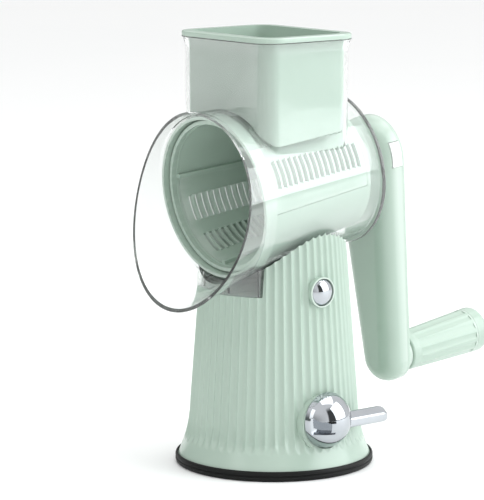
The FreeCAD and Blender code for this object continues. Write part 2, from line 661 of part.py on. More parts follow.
# ---------------------------------------------------------------- crank
def arm_outline(s, inset):
    """Outline of the crank arm at s: two circles joined by their tangents."""
    hub_r = ARM_HUB_R - inset
    end_r = ARM_END_R - inset
    lean = math.asin((hub_r - end_r) / ARM_LENGTH)
    nx = math.cos(lean)
    nt = -math.sin(lean)
    hub = [Vector(nx * hub_r, s, nt * hub_r), Vector(-nx * hub_r, s, nt * hub_r)]
    end = [Vector(nx * end_r, s, nt * end_r - ARM_LENGTH), Vector(-nx * end_r, s, nt * end_r - ARM_LENGTH)]
    edges = [
        Part.Arc(hub[0], Vector(0, s, hub_r), hub[1]).toShape(),
        Part.makeLine(hub[1], end[1]),
        Part.Arc(end[1], Vector(0, s, -ARM_LENGTH - end_r), end[0]).toShape(),
        Part.makeLine(end[0], hub[0]),
    ]
    return Part.Wire(edges)


def arm_blank(inset, s1, s2, front_round, rear_round):
    """Solid of the arm with rounded front and rear edges."""
    solid = Part.Face(arm_outline(s1, inset)).extrude(Vector(0, s2 - s1, 0))
    front = [e for e in solid.Edges if abs(e.BoundBox.YMax - s1) < 0.01]
    rear = [e for e in solid.Edges if abs(e.BoundBox.YMin - s2) < 0.01]
    if front_round > 0:
        solid = solid.makeFillet(front_round, front)
    if rear_round > 0:
        rear = [e for e in solid.Edges if abs(e.BoundBox.YMin - s2) < 0.01]
        solid = solid.makeFillet(rear_round, rear)
    return solid


def half_space(s1, s2):
    return block(-60, 60, s1, s2, -200, 60)


def cover_screw_places():
    """Two screws along the arm and one at the hub."""
    return ((0.0, 19.5), (0.0, -62.0), (0.0, -108.0))


def crank_arm():
    outer = arm_blank(0.0, ARM_FRONT_S, ARM_REAR_S, ARM_FRONT_ROUND, ARM_REAR_ROUND)
    outer = outer.common(half_space(0, ARM_SEAM_S))
    inner = arm_blank(ARM_WALL, ARM_FRONT_S + ARM_WALL, ARM_REAR_S + 5, ARM_FRONT_ROUND - ARM_WALL, 0.0)
    arm = outer.cut(inner)
    neck = cone_s(BARREL_REAR_S + 3.0, 15.5, ARM_FRONT_S + 4, 18.0)
    socket = cone_s(ARM_FRONT_S, 12.5, 79.0, 12.5)
    post_length = ARM_SEAM_S - ARM_FRONT_S - 1.5
    pin_post = Part.makeCylinder(7.0, post_length, Vector(0, ARM_FRONT_S + 1.0, -ARM_LENGTH),
                                 Vector(0, 1, 0))
    posts = [pin_post.cut(half_space(ARM_SEAM_S, 200))]
    for x, t in cover_screw_places():
        post = Part.makeCylinder(3.6, post_length, Vector(x, ARM_FRONT_S + 1.0, t), Vector(0, 1, 0))
        posts.append(post.cut(half_space(ARM_SEAM_S - 0.2, 200)))
    arm = arm.fuse([neck, socket] + posts)
    cuts = [cone_s(BARREL_REAR_S, JOURNAL_R + GAP, JOURNAL_END_S + 0.6, JOURNAL_R + GAP),
            hexagon(JOURNAL_END_S, 100, HEX_R + 0.12),
            Part.makeCylinder(3.0, 40, Vector(0, 78, -ARM_LENGTH), Vector(0, 1, 0))]
    for x, t in cover_screw_places():
        cuts.append(Part.makeCylinder(1.3, 40, Vector(x, 80, t), Vector(0, 1, 0)))
    return tilted(arm.cut(cuts).cut(button_window()))


def button_window():
    """Hole in the side of the hub that the release button moves in."""
    return block(15, 40, 82.6, 91.4, -5.4, 12.4)


def crank_cover():
    outer = arm_blank(0.0, ARM_FRONT_S, ARM_REAR_S, ARM_FRONT_ROUND, ARM_REAR_ROUND)
    outer = outer.common(half_space(ARM_SEAM_S, 200))
    inner = arm_blank(ARM_WALL, ARM_FRONT_S, ARM_REAR_S - ARM_WALL, 0.0, 0.0)
    root = arm_blank(ARM_WALL - 0.4, ARM_SEAM_S + 0.1, ARM_SEAM_S + 1.2, 0.0, 0.0)
    lip = arm_blank(ARM_WALL + 0.15, ARM_SEAM_S - 2.0, ARM_SEAM_S + 0.6, 0.0, 0.0).fuse(root)
    lip = lip.cut(arm_blank(ARM_WALL + 1.6, ARM_SEAM_S - 4.0, ARM_SEAM_S + 4.0, 0.0, 0.0))
    cover = outer.cut(inner).fuse(lip)
    cuts = [button_window(), Part.makeCylinder(7.6, 40, Vector(0, 80, -ARM_LENGTH), Vector(0, 1, 0))]
    boss = Part.makeCylinder(10.5, 2.4, Vector(0, ARM_REAR_S - 0.4, -ARM_LENGTH), Vector(0, 1, 0))
    cover = cover.fuse(boss).cut(cuts)
    return tilted(cover)


def cover_screws():
    screws = []
    for x, t in cover_screw_places():
        shank = Part.makeCylinder(1.3, 9, Vector(x, ARM_SEAM_S - 8, t), Vector(0, 1, 0))
        head = Part.makeCylinder(2.6, 1.6, Vector(x, ARM_SEAM_S, t), Vector(0, 1, 0))
        screws.append(tilted(shank.fuse(head)))
    return Part.makeCompound(screws)


def release_button():
    proud = 0.7
    skin = arm_blank(-proud, ARM_FRONT_S - proud, ARM_REAR_S + proud, ARM_FRONT_ROUND + proud, ARM_REAR_ROUND)
    key = block(21.5, 40, 83.0, 91.0, -5.0, 12.0).common(skin)
    stem = block(17.6, 23, 83.6, 85.6, -3.0, 10.0)
    return tilted(key.fuse(stem))


def release_catch():
    """Flat catch round the spindle; one edge sits in the groove."""
    plate = block(-11.5, 17.6, GROOVE_S - 0.9, GROOVE_S + 0.9, -10, 10)
    opening = cone_s(GROOVE_S - 3, 8.1, GROOVE_S + 3, 8.1)
    opening.translate(Vector(2.3, 0, 0))
    step = block(15.6, 17.6, GROOVE_S - 0.9, 85.6, -3.0, 10.0)
    return tilted(plate.cut(opening).fuse(step))


def release_spring():
    start = tilted(Part.Vertex(-23.5, GROOVE_S, 0)).Point
    end = tilted(Part.Vertex(-12.3, GROOVE_S, 0)).Point
    return coil_spring(2.6, 0.6, 5, start, end)


def grip_pin():
    pin = Part.makeCylinder(3.0, 76, Vector(0, 79, -ARM_LENGTH), Vector(0, 1, 0))
    head = Part.makeCylinder(4.8, 2.4, Vector(0, 155, -ARM_LENGTH), Vector(0, 1, 0))
    shoulder = Part.makeCylinder(5.4, 2.6, Vector(0, ARM_REAR_S + 2.2, -ARM_LENGTH), Vector(0, 1, 0))
    return tilted(pin.fuse([head, shoulder]))


def grip_collar():
    ring = Part.makeCylinder(12.4, 3.0, Vector(0, ARM_REAR_S + 2.2, -ARM_LENGTH), Vector(0, 1, 0))
    bore = Part.makeCylinder(5.4, 9, Vector(0, ARM_REAR_S, -ARM_LENGTH), Vector(0, 1, 0))
    return tilted(ring.cut(bore))


def grip_frame(shape):
    """Move a shape drawn about the barrel's axis onto the grip's axis."""
    moved = shape.copy()
    moved.translate(Vector(0, 0, -ARM_LENGTH))
    return tilted(moved)


def grip_radius(s):
    share = (s - GRIP_START_S) / (GRIP_END_S - GRIP_START_S)
    return GRIP_START_R + (GRIP_END_R - GRIP_START_R) * share


def grip_body():
    end = GRIP_END_S - 6.0
    outer = cone_s(GRIP_START_S, GRIP_START_R, end, grip_radius(end))
    outer = outer.makeFillet(1.6, rim_edges(outer, GRIP_START_S, 20))
    flutes = []
    for i in range(GRIP_FLUTES):
        angle = 2 * math.pi * i / GRIP_FLUTES
        out = Vector(math.cos(angle), 0, math.sin(angle))
        low = out * (GRIP_START_R + 7.4) + Vector(0, GRIP_START_S + 7, 0)
        high = out * (grip_radius(end) + 7.4) + Vector(0, end - 2, 0)
        flutes.append(Part.makeCylinder(8.0, (high - low).Length, low, high - low))
    bore = cone_s(GRIP_START_S - 1, 3.0 + RUN, 154, 3.0 + RUN)
    pocket = cone_s(153.6, 8.5, end + 1, 8.5)
    return grip_frame(outer.cut([Part.makeCompound(flutes), bore, pocket]))


def grip_cap():
    start = GRIP_END_S - 5.8
    top = GRIP_END_S + GRIP_DOME
    shoulder_r = GRIP_END_R - 4.6
    crown_height = 1.2
    crown_r = (shoulder_r ** 2 + crown_height ** 2) / (2 * crown_height)
    half_angle = math.asin(shoulder_r / crown_r) / 2.0
    p_low = Vector(grip_radius(start), start, 0)
    p_side = Vector(GRIP_END_R, GRIP_END_S, 0)
    p_turn = Vector(GRIP_END_R - 1.25, GRIP_END_S + 3.5, 0)
    p_shoulder = Vector(shoulder_r, top - crown_height, 0)
    p_crown = Vector(crown_r * math.sin(half_angle), top - crown_r * (1 - math.cos(half_angle)), 0)
    edges = [
        Part.makeLine(Vector(0, start, 0), p_low),
        Part.makeLine(p_low, p_side),
        Part.Arc(p_side, p_turn, p_shoulder).toShape(),
        Part.Arc(p_shoulder, p_crown, Vector(0, top, 0)).toShape(),
        Part.makeLine(Vector(0, top, 0), Vector(0, start, 0)),
    ]
    body = Part.Face(Part.Wire(edges)).revolve(Vector(0, 0, 0), Vector(0, 1, 0), 360)
    plug = ring_s(158.0, start + 1, 5.5, 8.4)
    hollow = cone_s(start - 1, 5.5, start + 3, 5.5)
    return grip_frame(body.fuse(plug).cut(hollow))


# ---------------------------------------------------------------- springs in the base
def lock_spring():
    """Cone spring washer behind the button; it flattens as the button goes in."""
    wall = [(7.9, 0), (8.5, 0), (6.2, 2.3), (5.6, 2.3)]
    return turned(wall, Vector(47.45, BUTTON_Y, BUTTON_Z), Vector(1, 0, 0), Vector(0, 0, 1))


def lift_spring():
    hub_top_z = PLATE_LOW_Z + PLATE_THICK + PLATE_HUB_HEIGHT
    return coil_spring(6.5, 0.9, 3, Vector(0, 0, hub_top_z + 0.6), Vector(0, 0, 22.4))


NODES = {
    "tower_shell": tower_shell,
    "base_ring": base_ring,
    "bottom_plate": bottom_plate,
    "plate_screws": plate_screws,
    "lever_bush": lever_bush,
    "suction_knob": suction_knob,
    "lever_blade": lever_blade,
    "lever_shaft": lever_shaft,
    "shaft_clip": shaft_clip,
    "lift_cam": lift_cam,
    "pull_yoke": pull_yoke,
    "suction_pad": suction_pad,
    "button_bezel": button_bezel,
    "lock_button": lock_button,
    "button_stem": button_stem,
    "clear_housing": clear_housing,
    "foot_catch": foot_catch,
    "barrel_bush": barrel_bush,
    "pusher": pusher,
    "drum_cage": drum_cage,
    "blade_plate_a": lambda: blade_plate(0),
    "blade_plate_b": lambda: blade_plate(180),
    "drum_spindle": drum_spindle,
    "crank_arm": crank_arm,
    "crank_cover": crank_cover,
    "cover_screws": cover_screws,
    "release_button": release_button,
    "release_catch": release_catch,
    "release_spring": release_spring,
    "grip_pin": grip_pin,
    "grip_collar": grip_collar,
    "grip_body": grip_body,
    "grip_cap": grip_cap,
    "lock_spring": lock_spring,
    "lift_spring": lift_spring,
}

for node_name, make in NODES.items():
    save(node_name, make())
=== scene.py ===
import json
import math
import bpy
import bmesh
import mathutils
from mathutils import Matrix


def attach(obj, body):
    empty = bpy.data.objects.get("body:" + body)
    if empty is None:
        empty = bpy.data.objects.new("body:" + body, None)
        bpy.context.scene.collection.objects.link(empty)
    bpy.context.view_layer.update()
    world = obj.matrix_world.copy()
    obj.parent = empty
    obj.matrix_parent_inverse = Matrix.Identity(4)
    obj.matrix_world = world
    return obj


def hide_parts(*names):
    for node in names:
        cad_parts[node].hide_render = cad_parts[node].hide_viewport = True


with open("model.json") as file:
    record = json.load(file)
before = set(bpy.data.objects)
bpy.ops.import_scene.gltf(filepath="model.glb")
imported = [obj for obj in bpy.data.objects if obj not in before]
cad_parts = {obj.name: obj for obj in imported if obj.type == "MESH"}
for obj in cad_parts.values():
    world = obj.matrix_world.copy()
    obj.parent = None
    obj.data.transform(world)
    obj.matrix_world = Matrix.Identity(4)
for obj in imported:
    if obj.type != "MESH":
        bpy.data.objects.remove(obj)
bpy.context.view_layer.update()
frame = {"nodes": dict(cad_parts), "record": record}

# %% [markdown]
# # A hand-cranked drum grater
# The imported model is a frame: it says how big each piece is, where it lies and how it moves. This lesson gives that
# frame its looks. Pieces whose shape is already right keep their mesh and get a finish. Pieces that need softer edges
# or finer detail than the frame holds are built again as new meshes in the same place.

MM = 0.001
nodes = frame["nodes"]

# %% [markdown]
# ## Axes that most pieces share
# The barrel, the drum and the crank lie along one axis that is tipped a few degrees, so that the outlet hangs lower
# than the crank. Working in that tipped frame keeps each profile simple: x is across, s runs along the axis from the
# outlet to the crank, and t points up at a right angle to it. One matrix then puts the finished mesh in place.

# %% The tipped frame
TILT = math.radians(7.0)
AXIS_HEIGHT = 193.3 * MM
tipped = mathutils.Matrix.Translation((0, 0, AXIS_HEIGHT)) @ mathutils.Matrix.Rotation(TILT, 4, "X")
along_axis = tipped.to_3x3() @ mathutils.Vector((0, 1, 0))
print("axis of the drum:", [round(c, 4) for c in along_axis])

# %% [markdown]
# ## Colours
# A maker quotes a plastic's colour as an sRGB hex code, but light adds up in linear values. One function turns the
# code into what the shaders need, so that every material below can be written with the code a maker would quote.

# %% Hex to linear
def linear(code):
    """Linear RGBA of an sRGB hex code such as "C8DCD0"."""
    channels = []
    for start in (0, 2, 4):
        value = int(code[start:start + 2], 16) / 255.0
        channels.append(value / 12.92 if value <= 0.04045 else ((value + 0.055) / 1.055) ** 2.4)
    return (*channels, 1.0)


MINT, MINT_CLOUD = "ADBFB3", "A7BAAD"
print("mint in linear values:", [round(c, 3) for c in linear(MINT)])

# %% [markdown]
# ## Adding shader nodes
# Every finish here is a small network of nodes. One function adds a node, sets what is given to it, and links its
# inputs to the outputs of earlier nodes. With it, a material reads from top to bottom like a recipe.

# %% One function for nodes
def add(tree, kind, settings=None, values=None, links=None):
    """A new node with its settings, its inputs' values and its inputs' links."""
    node = tree.nodes.new(kind)
    for name, value in (settings or {}).items():
        setattr(node, name, value)
    for name, value in (values or {}).items():
        node.inputs[name].default_value = value
    for name, socket in (links or {}).items():
        tree.links.new(socket, node.inputs[name])
    return node


def start_material(name):
    """An empty material with its shader and output, and its position in metres on the object."""
    material = bpy.data.materials.new(name)
    material.use_nodes = True
    tree = material.node_tree
    tree.nodes.clear()
    shader = add(tree, "ShaderNodeBsdfPrincipled")
    add(tree, "ShaderNodeOutputMaterial", links={"Surface": shader.outputs["BSDF"]})
    place = add(tree, "ShaderNodeTexCoord").outputs["Object"]
    return material, tree, shader, place


print("node helper ready")

# %% [markdown]
# ## Mint gloss ABS, injection moulded
# The tower, drum, crank, grip and pusher are acrylonitrile butadiene styrene, a tough opaque plastic that copies the
# polish of its steel mould. Its refractive index is about 1.54, so it shines like paint but has no metal in it. A
# flat colour would look like a drawing: real mouldings have faint flow clouds, a slight waviness that bends their
# reflections, and a very fine orange peel. Edges that hands and packing rub are a little paler.

# %% A moulded plastic, from its mould outwards
def moulded_plastic(name, code, cloud_code, roughness, grain_mm, grain_height_mm):
    """Opaque moulded plastic with flow clouds, wavy skin, fine grain and rubbed edges."""
    material, tree, shader, place = start_material(name)
    clouds = add(tree, "ShaderNodeTexNoise", values={"Scale": 1 / (45 * MM), "Detail": 3.0, "Roughness": 0.5},
                 links={"Vector": place})
    tint = add(tree, "ShaderNodeMix", {"data_type": "RGBA"}, links={0: clouds.outputs["Fac"]})
    tint.inputs[6].default_value = linear(code)
    tint.inputs[7].default_value = linear(cloud_code)
    edges = add(tree, "ShaderNodeNewGeometry")
    rubbed = add(tree, "ShaderNodeMapRange", values={"From Min": 0.53, "From Max": 0.62, "To Max": 0.22},
                 links={"Value": edges.outputs["Pointiness"]})
    worn = add(tree, "ShaderNodeMix", {"data_type": "RGBA"}, links={0: rubbed.outputs["Result"]})
    tree.links.new(tint.outputs[2], worn.inputs[6])
    worn.inputs[7].default_value = linear("F4F7F5")
    tree.links.new(worn.outputs[2], shader.inputs["Base Color"])
    handling = add(tree, "ShaderNodeTexNoise", values={"Scale": 1 / (14 * MM), "Detail": 4.0, "Roughness": 0.6},
                   links={"Vector": place})
    gloss = add(tree, "ShaderNodeMapRange",
                values={"From Min": 0.3, "From Max": 0.7, "To Min": roughness - 0.04, "To Max": roughness + 0.06},
                links={"Value": handling.outputs["Fac"]})
    tree.links.new(gloss.outputs["Result"], shader.inputs["Roughness"])
    wave = add(tree, "ShaderNodeTexNoise", values={"Scale": 1 / (11 * MM), "Detail": 1.0}, links={"Vector": place})
    skin = add(tree, "ShaderNodeBump", values={"Strength": 0.5, "Distance": 0.05 * MM},
               links={"Height": wave.outputs["Fac"]})
    grain = add(tree, "ShaderNodeTexNoise", values={"Scale": 1 / (grain_mm * MM), "Detail": 2.0},
                links={"Vector": place})
    peel = add(tree, "ShaderNodeBump", values={"Strength": 0.6, "Distance": grain_height_mm * MM},
               links={"Height": grain.outputs["Fac"], "Normal": skin.outputs["Normal"]})
    tree.links.new(peel.outputs["Normal"], shader.inputs["Normal"])
    shader.inputs["IOR"].default_value = 1.54
    shader.inputs["Metallic"].default_value = 0.0
    return material


mint_abs = moulded_plastic("mint gloss moulded ABS", MINT, MINT_CLOUD, 0.20, 1.1, 0.006)
inner_abs = moulded_plastic("mint as-moulded ABS", "B0C4B6", "A9BEAF", 0.46, 0.6, 0.02)
white_abs = moulded_plastic("white gloss moulded ABS", "F1F3F1", "E9ECEA", 0.18, 1.1, 0.006)
acetal = moulded_plastic("natural acetal, machined", "E9E8E2", "E0DFD8", 0.38, 0.5, 0.012)
print("plastics:", [m.name for m in (mint_abs, inner_abs, white_abs, acetal)])

# %% [markdown]
# ## Clear SAN, polished mould
# The barrel with its hopper and hood is styrene acrylonitrile, the stiff clear plastic of jugs and food processors.
# Its refractive index is about 1.57, a little above glass, so the walls nearly vanish face on and turn dark and bright
# where they are seen on edge. The shape does that work by itself, because the wall has a real inside and outside.
# The skin is only slightly wavy, from the way the melt cooled, and that breaks up straight reflections. A trace of
# haze in the melt scatters a few hundredths of the light, which turns the thick rims grey where they would be black.
# Light from the lamps is let straight through, because a renderer rarely finds a lamp through a bent wall by chance,
# and the pieces inside would otherwise be too dark.

# %% Clear SAN
def clear_plastic(name, code, haze):
    """Clear plastic with a faint tint, a share of haze and a wavy moulded skin."""
    material, tree, shader, place = start_material(name)
    wave = add(tree, "ShaderNodeTexNoise", values={"Scale": 1 / (16 * MM), "Detail": 1.5}, links={"Vector": place})
    skin = add(tree, "ShaderNodeBump", values={"Strength": 0.35, "Distance": 0.10 * MM},
               links={"Height": wave.outputs["Fac"]})
    tree.links.new(skin.outputs["Normal"], shader.inputs["Normal"])
    smear = add(tree, "ShaderNodeTexNoise", values={"Scale": 1 / (20 * MM), "Detail": 3.0}, links={"Vector": place})
    gloss = add(tree, "ShaderNodeMapRange",
                values={"From Min": 0.35, "From Max": 0.75, "To Min": 0.01, "To Max": 0.05},
                links={"Value": smear.outputs["Fac"]})
    tree.links.new(gloss.outputs["Result"], shader.inputs["Roughness"])
    shader.inputs["Base Color"].default_value = linear(code)
    shader.inputs["Transmission Weight"].default_value = 1.0 - haze
    shader.inputs["IOR"].default_value = 1.57
    rays = add(tree, "ShaderNodeLightPath")
    open_way = add(tree, "ShaderNodeBsdfTransparent", values={"Color": linear("F4F8F6")})
    walls = add(tree, "ShaderNodeMixShader", links={0: rays.outputs["Is Shadow Ray"], 1: shader.outputs["BSDF"],
                                                    2: open_way.outputs["BSDF"]})
    output = next(node for node in tree.nodes if node.type == "OUTPUT_MATERIAL")
    tree.links.new(walls.outputs["Shader"], output.inputs["Surface"])
    return material


clear_san = clear_plastic("clear moulded SAN", "FBFDFC", 0.04)
print("clear plastic:", clear_san.name)

# %% [markdown]
# ## Black rubber
# The ring that the tower stands on is nitrile rubber. It is moulded in a blasted tool, so it scatters light and only
# shows a soft grey edge. Fine pits and a little lint keep it from being plain black.

# %% Black rubber
def moulded_rubber(name, code, dust_code):
    """Dull rubber with fine pits and a trace of dust."""
    material, tree, shader, place = start_material(name)
    dust = add(tree, "ShaderNodeTexNoise", values={"Scale": 1 / (3 * MM), "Detail": 6.0, "Roughness": 0.7},
               links={"Vector": place})
    amount = add(tree, "ShaderNodeMapRange", values={"From Min": 0.5, "From Max": 0.85, "To Max": 0.5},
                 links={"Value": dust.outputs["Fac"]})
    mix = add(tree, "ShaderNodeMix", {"data_type": "RGBA"}, links={0: amount.outputs["Result"]})
    mix.inputs[6].default_value = linear(code)
    mix.inputs[7].default_value = linear(dust_code)
    tree.links.new(mix.outputs[2], shader.inputs["Base Color"])
    pits = add(tree, "ShaderNodeTexNoise", values={"Scale": 1 / (0.7 * MM), "Detail": 3.0}, links={"Vector": place})
    bump = add(tree, "ShaderNodeBump", values={"Strength": 0.7, "Distance": 0.04 * MM},
               links={"Height": pits.outputs["Fac"]})
    tree.links.new(bump.outputs["Normal"], shader.inputs["Normal"])
    shader.inputs["Roughness"].default_value = 0.48
    shader.inputs["Specular IOR Level"].default_value = 0.2
    shader.inputs["IOR"].default_value = 1.52
    return material


black_rubber = moulded_rubber("black moulded nitrile rubber", "0D0E0E", "1E1F1F")
print("rubber:", black_rubber.name)

# %% [markdown]
# ## Chrome-plated ABS, zinc-plated steel and spring wire
# The suction lever and the lock button are ABS with a bright chrome plating. Plating follows the moulding under it,
# so its reflections wander slightly. The screws, shafts and catch are zinc-plated steel, which is greyer and carries
# the fine lines of turning or drawing. Springs are drawn wire, darker again.

# %% Three metals
def metal(name, code, stain_code, roughness, spread, line_mm, height_mm):
    """A metal with faint stains, uneven polish and fine lines along x."""
    material, tree, shader, place = start_material(name)
    stains = add(tree, "ShaderNodeTexNoise", values={"Scale": 1 / (9 * MM), "Detail": 4.0}, links={"Vector": place})
    mix = add(tree, "ShaderNodeMix", {"data_type": "RGBA"}, links={0: stains.outputs["Fac"]})
    mix.inputs[6].default_value = linear(code)
    mix.inputs[7].default_value = linear(stain_code)
    tree.links.new(mix.outputs[2], shader.inputs["Base Color"])
    gloss = add(tree, "ShaderNodeMapRange",
                values={"From Min": 0.35, "From Max": 0.7, "To Min": roughness, "To Max": roughness + spread},
                links={"Value": stains.outputs["Fac"]})
    tree.links.new(gloss.outputs["Result"], shader.inputs["Roughness"])
    stretch = add(tree, "ShaderNodeMapping", links={"Vector": place})
    stretch.inputs["Scale"].default_value = (0.08, 1.0, 1.0)
    lines = add(tree, "ShaderNodeTexNoise", values={"Scale": 1 / (line_mm * MM), "Detail": 2.0},
                links={"Vector": stretch.outputs["Vector"]})
    bump = add(tree, "ShaderNodeBump", values={"Strength": 0.5, "Distance": height_mm * MM},
               links={"Height": lines.outputs["Fac"]})
    tree.links.new(bump.outputs["Normal"], shader.inputs["Normal"])
    shader.inputs["Metallic"].default_value = 1.0
    return material


chrome = metal("bright chrome-plated ABS", "B8BCC0", "AEB2B7", 0.03, 0.04, 9.0, 0.02)
zinc_steel = metal("zinc-plated steel", "B9BCC0", "A3A6AB", 0.24, 0.12, 0.5, 0.01)
spring_steel = metal("drawn spring wire", "8E9093", "76787B", 0.28, 0.12, 0.4, 0.01)
print("metals:", [m.name for m in (chrome, zinc_steel, spring_steel)])

# %% [markdown]
# ## Give every frame node its finish
# The record names a material slot for each node. One table from slot to finish covers the whole object, hidden pieces
# too, because they show when the barrel is lifted or the crank is pulled off.

# %% Slots to finishes
finishes = {
    "mint_abs": mint_abs, "inner_abs": inner_abs, "white_abs": white_abs, "acetal": acetal, "clear_san": clear_san,
    "black_rubber": black_rubber, "chrome": chrome, "zinc_steel": zinc_steel, "spring_steel": spring_steel,
}
slot_of = {part["node"]: part["material_slot"] for part in frame["record"]["subparts"]}
for node_name, node_object in nodes.items():
    if not node_object.material_slots:
        node_object.data.materials.append(None)
    for material_slot in node_object.material_slots:
        material_slot.material = finishes[slot_of[node_name]]
print("finished nodes:", len(nodes))

# %% [markdown]
# ## Turning a finished mesh into a piece
# Each new mesh takes the place of one frame node: it rides on the same body, takes the same finish and hides the node.
# Shading is smooth except across real corners, which are marked sharp by their angle.

# %% From mesh to piece
def place_piece(name, mesh, body, node, sharp_angle=35.0):
    """An object that stands for a frame node and rides on its body."""
    mesh.shade_smooth()
    mesh.set_sharp_from_angle(angle=math.radians(sharp_angle))
    piece = bpy.data.objects.new(name, mesh)
    bpy.context.collection.objects.link(piece)
    mesh.materials.clear()
    mesh.materials.append(finishes[slot_of[node]])
    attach(piece, body)
    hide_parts(node)
    return piece


def settle(piece):
    """Applies an object's modifiers, so that its mesh is final."""
    bpy.context.view_layer.update()
    final = bpy.data.meshes.new_from_object(piece.evaluated_get(bpy.context.evaluated_depsgraph_get()))
    piece.modifiers.clear()
    piece.data = final
    return final


print("piece helpers ready")

# %% [markdown]
# ## The fluted tower
# The tower is one hollow moulding. Its wall tapers straight for most of its height, then flares out to the foot.
# Fifty-six shallow scallops run up it and die out smoothly on the flare, which is the detail that catches the light.
# A grid of points does that better than cutting grooves: each point's radius is the wall's radius less the scallop's
# depth, and the depth fades to nothing near the foot.

# %% Radius of the tower's wall and its flutes
FLUTES = 56
FLUTE_DEPTH = 1.4
CREST_SHARE = 0.46
FADE_LOW, FADE_HIGH = 16.5, 23.0
TAPER_Z, TAPER_R, TAPER = 42.0, 57.6, 0.0765
FLARE = ((66.4, 5.0), (60.5, 21.0), (TAPER_R, TAPER_Z))
WALL = 3.0


def wall_radius(z):
    """Outside radius of the tower at height z, in mm: a straight taper above an arc."""
    if z >= TAPER_Z:
        return TAPER_R - TAPER * (z - TAPER_Z)
    (x1, z1), (x2, z2), (x3, z3) = FLARE
    d = 2 * (x1 * (z2 - z3) + x2 * (z3 - z1) + x3 * (z1 - z2))
    a, b, c = x1 * x1 + z1 * z1, x2 * x2 + z2 * z2, x3 * x3 + z3 * z3
    cx = (a * (z2 - z3) + b * (z3 - z1) + c * (z1 - z2)) / d
    cz = (a * (x3 - x2) + b * (x1 - x3) + c * (x2 - x1)) / d
    reach = math.hypot(x1 - cx, z1 - cz)
    return cx - math.sqrt(reach * reach - (z - cz) ** 2)


def flute_depth(angle, z):
    """How deep the scallop is at an angle and height: rounded hollows with narrow crests between them."""
    phase = (angle * FLUTES / (2 * math.pi)) % 1.0
    u = min(abs(phase - 0.5) / CREST_SHARE, 1.0)
    hollow = 1.0 - u * u
    fade = min(max((z - FADE_LOW - 3.0 * u * u) / (FADE_HIGH - FADE_LOW), 0.0), 1.0)
    return FLUTE_DEPTH * hollow * math.sin(fade * math.pi / 2)


print("wall radius at 9, 21 and 60 mm:", [round(wall_radius(z), 1) for z in (9, 21, 60)])

# %% A closed skin from a radius function
def revolved_skin(name, heights, columns, radius_at):
    """A closed solid of revolution whose radius may change with angle and height; sizes in mm."""
    build = bmesh.new()
    rows = []
    for z in heights:
        row = []
        for i in range(columns):
            angle = 2 * math.pi * i / columns
            r = radius_at(angle, z)
            row.append(build.verts.new((r * math.cos(angle) * MM, r * math.sin(angle) * MM, z * MM)))
        rows.append(row)
    for low, high in zip(rows, rows[1:]):
        for i in range(columns):
            j = (i + 1) % columns
            build.faces.new((low[i], low[j], high[j], high[i]))
    build.faces.new(list(reversed(rows[0])))
    build.faces.new(rows[-1])
    mesh = bpy.data.meshes.new(name)
    build.to_mesh(mesh)
    build.free()
    skin = bpy.data.objects.new(name, mesh)
    bpy.context.collection.objects.link(skin)
    return skin


def steps(low, high, count):
    """Evenly spaced values from low to high."""
    return [low + (high - low) * i / count for i in range(count + 1)]


heights = steps(5.0, 15.0, 5) + steps(16.0, 27.0, 22) + steps(30.0, 172.0, 30)
skin = revolved_skin("tower_skin", heights, FLUTES * 12, lambda angle, z: wall_radius(z) - flute_depth(angle, z))
print("points in the tower's skin:", len(skin.data.vertices))

# %% [markdown]
# ## Cutting the tower
# The mould leaves a wall of 3 mm, a round saddle that the barrel lies in, and a slot that its foot plugs into. They
# are cut with boolean modifiers, in the order a toolmaker would think of them: first the outside with its two bosses,
# then a hollow that stops short of the saddle and the slot, then the saddle and the slot themselves.

# %% Tools for the cuts
def slab(name, low, high):
    """A plain block between two corners, in mm, used only as a cutter."""
    build = bmesh.new()
    bmesh.ops.create_cube(build, size=1.0)
    size = [(b - a) * MM for a, b in zip(low, high)]
    middle = [(a + b) / 2 * MM for a, b in zip(low, high)]
    bmesh.ops.scale(build, vec=size, verts=build.verts)
    bmesh.ops.translate(build, vec=middle, verts=build.verts)
    return as_cutter(name, build)


def as_cutter(name, build):
    """A hidden object made from a bmesh."""
    mesh = bpy.data.meshes.new(name)
    build.to_mesh(mesh)
    build.free()
    cutter = bpy.data.objects.new(name, mesh)
    bpy.context.collection.objects.link(cutter)
    return cutter


def rod(name, matrix, start, end, start_r, end_r, segments=128):
    """A round bar or cone along a frame's y axis, in mm, used only as a cutter or a blank."""
    build = bmesh.new()
    rings = []
    for s, r in ((start, start_r), (end, end_r)):
        turns = [2 * math.pi * i / segments for i in range(segments)]
        rings.append([build.verts.new(matrix @ mathutils.Vector((r * math.cos(a) * MM, s * MM, r * math.sin(a) * MM)))
                      for a in turns])
    for i in range(segments):
        j = (i + 1) % segments
        build.faces.new((rings[0][i], rings[1][i], rings[1][j], rings[0][j]))
    build.faces.new(rings[0])
    build.faces.new(list(reversed(rings[1])))
    bmesh.ops.recalc_face_normals(build, faces=build.faces)
    return as_cutter(name, build)


def combine(body, operation, tools):
    """Applies one boolean modifier per tool and removes the tools."""
    for tool in tools:
        change = body.modifiers.new(tool.name, "BOOLEAN")
        change.operation = operation
        change.solver = "MANIFOLD"
        change.object = tool
    settle(body)
    for tool in tools:
        bpy.data.objects.remove(tool)
    return body


sideways = mathutils.Matrix.Rotation(math.radians(-90), 4, "Z")
print("cutting tools ready")

# %% Outside, hollow, saddle and slot
LEVER_Y, LEVER_Z, LEVER_FACE = -3.0, 38.2, 58.6
BOSS_Z, BOSS_R = 35.8, 19.9
BUTTON_Y, BUTTON_Z, BUTTON_COLLAR_R = -1.2, 124.0, 10.2
SEAT_END, SEAT_FRONT_R, SEAT_REAR_R = 114, 60.4, 53.9     # the saddle is a cone along the tipped axis
SLOT_X, SLOT_LOW_Z, SLOT_REAR_Y = 33.4, 121.6, 10.4


